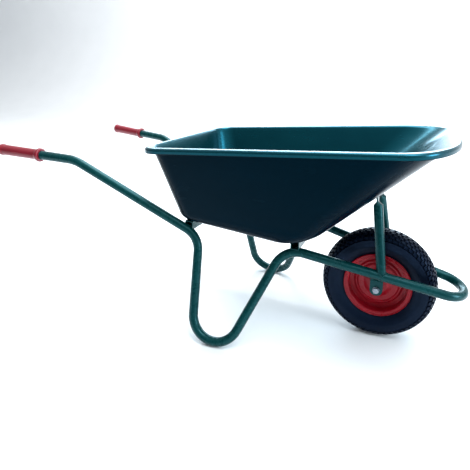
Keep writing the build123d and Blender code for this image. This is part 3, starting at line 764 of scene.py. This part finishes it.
# ---- wheel ----
@dataclass
class Tyre:
    """A pneumatic tyre with blocks across its tread. Millimetres, (outward, radius)."""

    radius: float = 200.0
    half_width: float = 49.0
    bulge_radius: float = 148.0
    tread_half: float = 41.0
    shoulder_drop: float = 13.0
    bead_half: float = 31.0
    bead_radius: float = 103.0
    bead_top: float = 119.0
    casing: float = 7.0
    groove: float = 5.0
    pitches: int = 60
    slant: float = 0.3
    slant_run: float = 56.0
    phases: tuple = (0.0, 0.14, 0.20, 0.30, 0.36, 0.5, 0.64, 0.70, 0.80, 0.86)
    block_half: float = 0.301
    slack: float = 0.01
    rows: int = 5
    row_step: float = 11.8
    row_width: float = 8.2
    ramp: float = 1.2
    tread_end: float = 60.0
    wall_steps: int = 17
    sink: float = 1.2
    sink_run: float = 6.0
    ring_at: float = 84.0
    ring_width: float = 3.0
    bead_fade: float = 8.0
    toe: float = 9.0
    heel_height: float = 6.0
    heel_width: float = 4.0
    crown_steps: int = 61
    side_steps: int = 91

    def section(self) -> tuple[Array, Array]:
        """Half of the outer section, from crown to bead, and each point's run from the crown."""
        shoulder = np.array([self.tread_half, self.radius - self.shoulder_drop])
        mirrored, top = shoulder * np.array([-1, 1]), np.array([0, self.radius])
        crown = arc_through(mirrored, top, shoulder, 2 * self.crown_steps - 1)
        bulge = np.array([self.half_width, self.bulge_radius])
        bead = np.array([self.bead_half, self.bead_top])
        side = arc_through(shoulder, bulge, bead, self.side_steps)
        line = np.concatenate([crown[self.crown_steps - 1:], side[1:]])
        run = np.concatenate([[0], np.cumsum(np.linalg.norm(np.diff(line, axis=0), axis=1))])
        return line, run

    def build(self) -> None:
        """Makes the casing and its tread as one closed surface.

        Round the wheel the angle lines fall on the edges of the blocks, whose rows are
        half a pitch apart, and the lines lean with the distance from the crown. Across the
        tread the rows end at fixed distances from the crown. Where a point is in a groove
        it moves inwards along the section's normal by the groove's depth. Past the tread
        the wall sinks a little, but for a raised ring and at the bead.
        """
        line, run = self.section()
        starts = np.arange(self.rows) * self.row_step
        top = np.array([0, self.row_width / 2, self.row_width])
        block = np.concatenate([[-self.ramp], top, [self.row_width + self.ramp]])
        stops = (starts[:, None] + block).ravel()[1:]
        across = np.concatenate([stops, np.linspace(self.tread_end, run[-1], self.wall_steps)])
        half = np.stack([np.interp(across, run, line[:, k]) for k in range(2)], 1)
        along = unit(np.gradient(half, axis=0))
        inward = np.stack([along[:, 1], -along[:, 0]], 1)
        place = (np.arange(self.pitches)[:, None] + np.array(self.phases)).ravel()
        share = place % 1.0
        even, odd = (
            (np.abs((share + shift) % 1.0 - 0.5) <= self.block_half)[None] for shift in (0.0, 0.5)
        )
        row = np.floor((across + self.ramp) / self.row_step)
        into = across - row * self.row_step
        on_row = (into >= -self.slack) & (into <= self.row_width + self.slack)
        on_block = on_row[:, None] & np.where(row[:, None] % 2 == 0, even, odd)
        past = across - self.tread_end
        depth = np.where(on_block | (past[:, None] >= 0), 0.0, self.groove)
        ring = np.exp(-(((across - self.ring_at) / self.ring_width) ** 2))
        ease = np.clip(past / self.sink_run, 0.0, 1.0)
        sink = self.sink * np.where(past > self.sink_run, 1 - ring, ease)
        depth = depth + (sink * smoothstep(run[-1] - across, 0.0, self.bead_fade))[:, None]
        skew = self.slant * np.sin(np.clip(across / self.slant_run, 0, 1) * math.pi)
        grids = []
        for side in (Side.LEFT, Side.RIGHT):
            lean = skew * side.value
            angle = (place[None] + lean[:, None]) * 2 * math.pi / self.pitches
            out = (half[:, 0, None] + inward[:, 0, None] * depth) * side.value
            radius = half[:, 1, None] + inward[:, 1, None] * depth
            grids.append(np.stack([radius * np.sin(angle), out, radius * np.cos(angle)], -1))
        inner = self.lining()
        angle = place[None] * 2 * math.pi / self.pitches
        out, radius = inner[:, :1], inner[:, 1:]
        lining = np.stack([radius * np.sin(angle), out + 0 * angle, radius * np.cos(angle)], -1)
        grid = np.concatenate([grids[0][::-1], grids[1][1:], lining])
        surface = Surface()
        surface.add(grid * MM + AXLE)
        surface.build("tyre_casing", Body.WHEEL, TYRE_RUBBER, ("tyre",), sharp=32.0)

    def lining(self) -> Array:
        """The bead faces and the inside of the casing, from the right bead to the left."""
        inset = self.casing
        toe = self.bead_half - self.toe
        half = rounded([
            (toe, self.bead_radius, 0), (toe, self.bead_radius + self.toe, 4),
            (self.half_width - inset, self.bulge_radius, 18),
            (self.tread_half - 3, self.radius - self.shoulder_drop - inset, 9),
            (0, self.radius - inset - 1, 0),
        ], 5)
        heel = np.array([self.bead_half, self.bead_radius]) + np.array([
            (0, self.heel_height), (-1.5, 0.5), (-self.heel_width, 0),
        ])
        right = np.concatenate([heel, half]) * np.array([-1, 1])
        return np.concatenate([right, right[-2::-1] * np.array([-1, 1])])


@dataclass
class Rim:
    """One pressed half of the wheel's rim. Millimetres, (outward, radius)."""

    sheet: float = 2.0
    flange_radius: float = 118.0
    curl: float = 4.0
    bead_half: float = 31.0
    bead_radius: float = 103.0
    bore: float = 17.05
    around: int = 240
    rings: tuple = (
        (0.0, 84.0, 3.5), (5.0, 79.5, 3.0), (5.0, 73.5, 3.0), (10.0, 68.0, 3.0),
        (10.0, 50.0, 5.0), (24.0, 31.0, 4.5),
    )

    def section(self) -> Array:
        """The pressed sheet's inner line, with soft bends between its rings."""
        return rounded([
            (self.bead_half + self.curl, self.flange_radius, 0),
            (self.bead_half, self.flange_radius - self.curl, 2.4),
            (self.bead_half, self.bead_radius, 4.5),
            (0.0, self.bead_radius, 5.0),
            *self.rings,
            (self.rings[-1][0], self.bore, 0),
        ], 7)

    def build(self, side: Side) -> None:
        """Makes one half: the sheet's section turned about the axle."""
        section = thickened(self.section(), self.sheet)
        axis = np.array([0, float(side.value), 0])
        grid = turned(section * MM, self.around, AXLE, axis, np.array([0, 0, 1.0]))
        surface = Surface()
        surface.add(grid)
        replaced = (f"rim_{side.label}",)
        surface.build(f"rim_half_{side.label}", Body.WHEEL, RED_PAINT, replaced, sharp=50.0)


# ---- welds ----
@dataclass
class Welds:
    """Rippled beads where a strut and an axle bracket meet the tube. Millimetres."""

    tube_radius: float = 16.0
    knee: tuple = (-305.0, 147.0, 338.03)
    nose: tuple = (279.5, 63.0, 217.5)
    strut_foot_x: float = 16.0
    strut_top: tuple = (-26.0, 39.0, 542.4)
    strut_radius: float = 16.0
    bracket_corner: tuple = (0.0, 62.0, 234.0)
    bracket_half_width: float = 22.0
    bracket_thickness: float = 5.0
    bead: float = 2.3
    ripple: float = 2.6
    ripple_depth: float = 0.14
    around: int = 300
    bead_sides: int = 12
    squareness: float = 0.25

    def run_point(self, x: float) -> Array:
        """The middle of the tube's straight side run on the left, at one x."""
        knee, nose = np.array(self.knee), np.array(self.nose)
        return knee + (nose - knee) * (x - knee[0]) / (nose[0] - knee[0])

    def saddle(
        self, outline: Array, foot: Array, line: Array, first: Array,
    ) -> tuple[Array, Array]:
        """Where a bar of a given outline meets the tube's skin.

        Each outline point is slid along the bar's line to where its distance from the
        tube's middle line is the tube's radius: the larger root of a quadratic.

        Args:
            outline: the bar's section (n, 2).
            foot: where the bar's middle line starts.
            line: the bar's direction, away from the tube.
            first: the direction of the outline's x.
        Returns:
            The meeting line (n, 3) and the direction out of the bar at each point.
        """
        along = unit(np.array(self.nose) - np.array(self.knee))
        second = np.cross(line, first)
        start = foot + outline[:, :1] * first + outline[:, 1:] * second
        away = start - self.run_point(0.0)
        fixed = away - (away @ along)[:, None] * along
        moving = line - (line @ along) * along
        a, b = moving @ moving, 2 * fixed @ moving
        c = (fixed * fixed).sum(1) - self.tube_radius ** 2
        reach = (-b + np.sqrt(np.maximum(b * b - 4 * a * c, 0.0))) / (2 * a)
        edge = np.roll(outline, -1, 0) - np.roll(outline, 1, 0)
        return start + reach[:, None] * line, unit(edge[:, 1:] * first - edge[:, :1] * second)

    def ring(self, path: Array, out: Array) -> Array:
        """A bead round a closed line, whose radius swells and shrinks with its length."""
        run = np.linalg.norm(np.roll(path, -1, 0) - path, axis=1)
        phase = np.cumsum(run) * round(run.sum() / self.ripple) / run.sum()
        radius = self.bead * (1 + self.ripple_depth * np.cos(2 * math.pi * phase))
        turn = full_turn(self.bead_sides)
        circle = np.stack([np.cos(turn), np.sin(turn)], 1)
        return carried(radius[:, None, None] * circle, path, out)

    def build(self, side: Side) -> None:
        """Makes the two beads of one side."""
        turn = full_turn(self.around)
        cos, sin = np.cos(turn), np.sin(turn)
        foot = self.run_point(self.strut_foot_x)
        line = unit(np.array(self.strut_top) - foot)
        circle = self.strut_radius * np.stack([cos, sin], 1)
        strut = self.saddle(circle, foot, line, unit(np.cross([0.0, 1.0, 0.0], line)))
        weld = self.run_point(0.0)
        drop = unit(np.array(self.bracket_corner) - weld)
        edge = np.array([1.0, 0.0, 0.0])
        middle = weld + np.cross(edge, drop) * self.bracket_thickness / 2
        squared = np.sign(sin) * np.abs(sin) ** self.squareness
        half_sizes = np.array([self.bracket_half_width, self.bracket_thickness / 2])
        oblong = half_sizes * np.stack([cos, squared], 1)
        surface = Surface()
        flip = np.array([1.0, side.value, 1.0])
        for path, out in (strut, self.saddle(oblong, middle, drop, edge)):
            surface.add(self.ring(path, out) * flip * MM + UNDER_AXLE)
        surface.build(f"weld_beads_{side.label}", Body.FRAME, GREEN_PAINT, sharp=60.0)


# ---- hand grips ----
@dataclass
class Grip:
    """A moulded sleeve with fine flutes, a flared end and a guard flange. Millimetres."""

    end_back: float = -1347.7
    end_half: float = 302.0
    end_height: float = 614.0
    bend_back: float = -1050.0
    bend_half: float = 264.0
    bend_height: float = 594.0
    length: float = 165.0
    radius: float = 18.5
    end_radius: float = 20.35
    flange_radius: float = 25.0
    flange_length: float = 9.0
    bore: float = 16.05
    cap: float = 4.0
    flutes: int = 20
    flute_depth: float = 0.7
    flute_steps: int = 10
    flute_start: float = 20.0
    flute_stop: float = 14.0
    flute_rows: int = 24
    flute_ease: tuple = (18.0, 24.0, 20.0, 13.0)
    flare: tuple = (11.0, 17.0)
    pole: float = 0.4

    def build(self, side: Side) -> None:
        """Makes one grip: its section turned about the handle, with shallow flutes.

        The radius falls by the flute depth times the square of one minus the absolute sine
        of half the flutes times the angle, only between the flared end and the flange.
        """
        start = np.array([self.end_back, side.value * self.end_half, self.end_height])
        bend = np.array([self.bend_back, side.value * self.bend_half, self.bend_height])
        line = unit(bend - start)
        foot = self.length - self.flange_length
        outside = rounded([
            (0, self.pole, 0), (0, self.end_radius, 4.5),
            (self.flare[0], self.end_radius, 3.0), (self.flare[1], self.radius, 3.0),
            (foot - 9, self.radius, 5.0), (foot - 0.5, self.flange_radius - 0.8, 2.4),
            (foot + 4.5, self.flange_radius, 3.0), (self.length, self.flange_radius - 2.0, 2.4),
            (self.length, self.bore, 0),
        ], 6)
        stretch = np.linspace(self.flute_start, foot - self.flute_stop, self.flute_rows)
        cut = int(np.argmax(outside[:, 0] >= self.flute_start))
        sleeve = np.stack([stretch, np.full(len(stretch), self.radius)], 1)
        outside = np.concatenate([outside[:cut], sleeve, outside[cut:]])
        inside = [(self.cap, self.bore), (self.cap, self.pole)]
        section = np.concatenate([outside, inside])
        up = np.array([0, 0, 1.0])
        up = unit(up - (up @ line) * line)
        count = self.flutes * self.flute_steps
        grid = turned(section, count, start, line, up)
        flute = (1 - np.abs(np.sin(self.flutes / 2 * full_turn(count)))) ** 2
        along = section[:, 0]
        rise, full, fall, end = self.flute_ease
        ease = smoothstep(along, rise, full) * (1 - smoothstep(along, foot - fall, foot - end))
        ease[len(outside) - 1:] = 0
        spoke = unit(grid - (start + along[:, None] * line)[:, None])
        grid = grid - spoke * (ease[:, None] * self.flute_depth * flute)[..., None]
        surface = Surface()
        surface.add(grid * MM + UNDER_AXLE, loop_rows=False)
        surface.build(f"hand_grip_{side.label}", Body.FRAME, GRIP_PLASTIC, (f"grip_{side.label}",))


# ---- studio ----
LIGHTS = (
    ("top_softbox", (0.2, 0.1, 3.2), (0.1, 0, 0.3), (4.5, 1.5), 180, (0.93, 0.97, 1.0)),
    ("front_softbox", (3.4, -0.6, 1.4), (-0.4, 0.2, 0.5), (1.2, 1.4), 75, (0.75, 0.90, 1.0)),
    ("back_softbox", (-0.5, 2.9, 1.65), (0.5, 0.0, 0.7), (4.2, 0.8), 120, (0.70, 0.88, 1.0)),
    ("back_wash", (0.0, 1.6, 4.2), (0.0, 5.2, 1.6), (8.0, 1.0), 260, (1.0, 1.0, 1.0)),
)


@dataclass
class Studio:
    """A pale sweep, soft lights and the camera. Metres, in the part's own frame."""

    eye: tuple = (0.6395, -1.3826, 0.9265)
    yaw: float = 0.332
    pitch: float = 0.280
    roll: float = 0.023
    lens: float = 32.11
    shift: tuple = (-0.1035, -0.1022)
    floor_near: float = -6.0
    floor_far: float = 3.6
    sweep_radius: float = 1.6
    sweep_top: float = 5.0
    half_length: float = 9.0

    def floor(self) -> None:
        """A floor that curves up behind: straight, a quarter circle, straight up."""
        turn = np.linspace(0, math.pi / 2, 24)
        across = self.floor_far + self.sweep_radius * np.sin(turn)
        curve = np.stack([across, self.sweep_radius * (1 - np.cos(turn))], 1)
        top = [self.floor_far + self.sweep_radius, self.sweep_top]
        line = np.concatenate([[[self.floor_near, 0.0]], curve, [top]])
        ends = np.array([[-self.half_length], [self.half_length]])
        points = np.stack(np.broadcast_arrays(ends, line[None, :, 0], line[None, :, 1]), -1)
        count = len(line)
        low = np.arange(count - 1)
        faces = np.stack([low, low + count, low + count + 1, low + 1], 1)
        mesh = bpy.data.meshes.new("studio_floor")
        mesh.from_pydata(points.reshape(-1, 3).tolist(), [], faces.tolist())
        mesh.polygons.foreach_set("use_smooth", np.ones(count - 1, bool))
        sketch = Sketch("pale_floor")
        stops = [(0.3, (0.84, 0.85, 0.86)), (0.7, (0.86, 0.87, 0.88))]
        sketch.feed("Base Color", sketch.ramp(sketch.noise(3, 2), stops))
        sketch.set(Roughness=0.9, Specular_IOR_Level=0.1)
        mesh.materials.append(sketch.material)
        piece = bpy.data.objects.new("studio_floor", mesh)
        bpy.context.scene.collection.objects.link(piece)

    def light(
        self, name: str, place: tuple, aim: tuple, size: tuple, power: float, colour: tuple,
    ) -> None:
        """Adds a soft rectangular light at place that faces aim, with its power in watts."""
        data = bpy.data.lights.new(name, "AREA")
        data.shape = "RECTANGLE"
        data.size, data.size_y = size
        data.energy = power
        data.color = colour
        lamp = bpy.data.objects.new(name, data)
        lamp.location = place
        lamp.rotation_euler = (Vector(aim) - Vector(place)).to_track_quat("-Z", "Y").to_euler()
        lamp.visible_camera = False
        bpy.context.scene.collection.objects.link(lamp)

    def sky(self) -> None:
        """Light all round that is palest behind and above, and dimmer on the near side."""
        world = bpy.data.worlds.new("studio_sky")
        bpy.context.scene.world = world
        world.use_nodes = True
        nodes, links = world.node_tree.nodes, world.node_tree.links
        where = nodes.new("ShaderNodeTexCoord").outputs["Generated"]
        dot = nodes.new("ShaderNodeVectorMath")
        dot.operation = "DOT_PRODUCT"
        dot.inputs[1].default_value = (0.30, 0.45, 0.84)
        links.new(where, dot.inputs[0])
        ramp = nodes.new("ShaderNodeValToRGB")
        line = ramp.color_ramp
        line.elements[0].position, line.elements[0].color = 0.30, (0.10, 0.115, 0.14, 1)
        line.elements[1].position, line.elements[1].color = 0.80, (0.92, 0.97, 1.0, 1)
        half = nodes.new("ShaderNodeMapRange")
        half.inputs["From Min"].default_value = -1
        links.new(dot.outputs["Value"], half.inputs["Value"])
        links.new(half.outputs["Result"], ramp.inputs["Fac"])
        links.new(ramp.outputs["Color"], nodes["Background"].inputs["Color"])

    def camera(self) -> None:
        """The camera: turned by yaw, tipped down by pitch, then rolled about its own line."""
        data = bpy.data.cameras.new("camera")
        data.lens = self.lens
        data.shift_x, data.shift_y = self.shift
        camera = bpy.data.objects.new("camera", data)
        turn = (
            Matrix.Rotation(self.yaw, 4, "Z")
            @ Matrix.Rotation(math.pi / 2 - self.pitch, 4, "X")
            @ Matrix.Rotation(self.roll, 4, "Z")
        )
        camera.matrix_world = Matrix.Translation(self.eye) @ turn
        bpy.context.scene.collection.objects.link(camera)
        bpy.context.scene.camera = camera

    def build(self) -> None:
        """Sets the whole studio up."""
        bpy.context.scene.view_settings.view_transform = "Standard"
        self.floor()
        self.sky()
        self.camera()
        for light in LIGHTS:
            self.light(*light)


def main() -> None:
    """Builds every sub-assembly in order."""
    Studio().build()
    dress_cad_nodes()
    Tray().build()
    Tyre().build()
    for side in Side:
        Rim().build(side)
        Grip().build(side)
        Welds().build(side)
    bpy.context.view_layer.update()


if __name__ == "__main__":
    main()
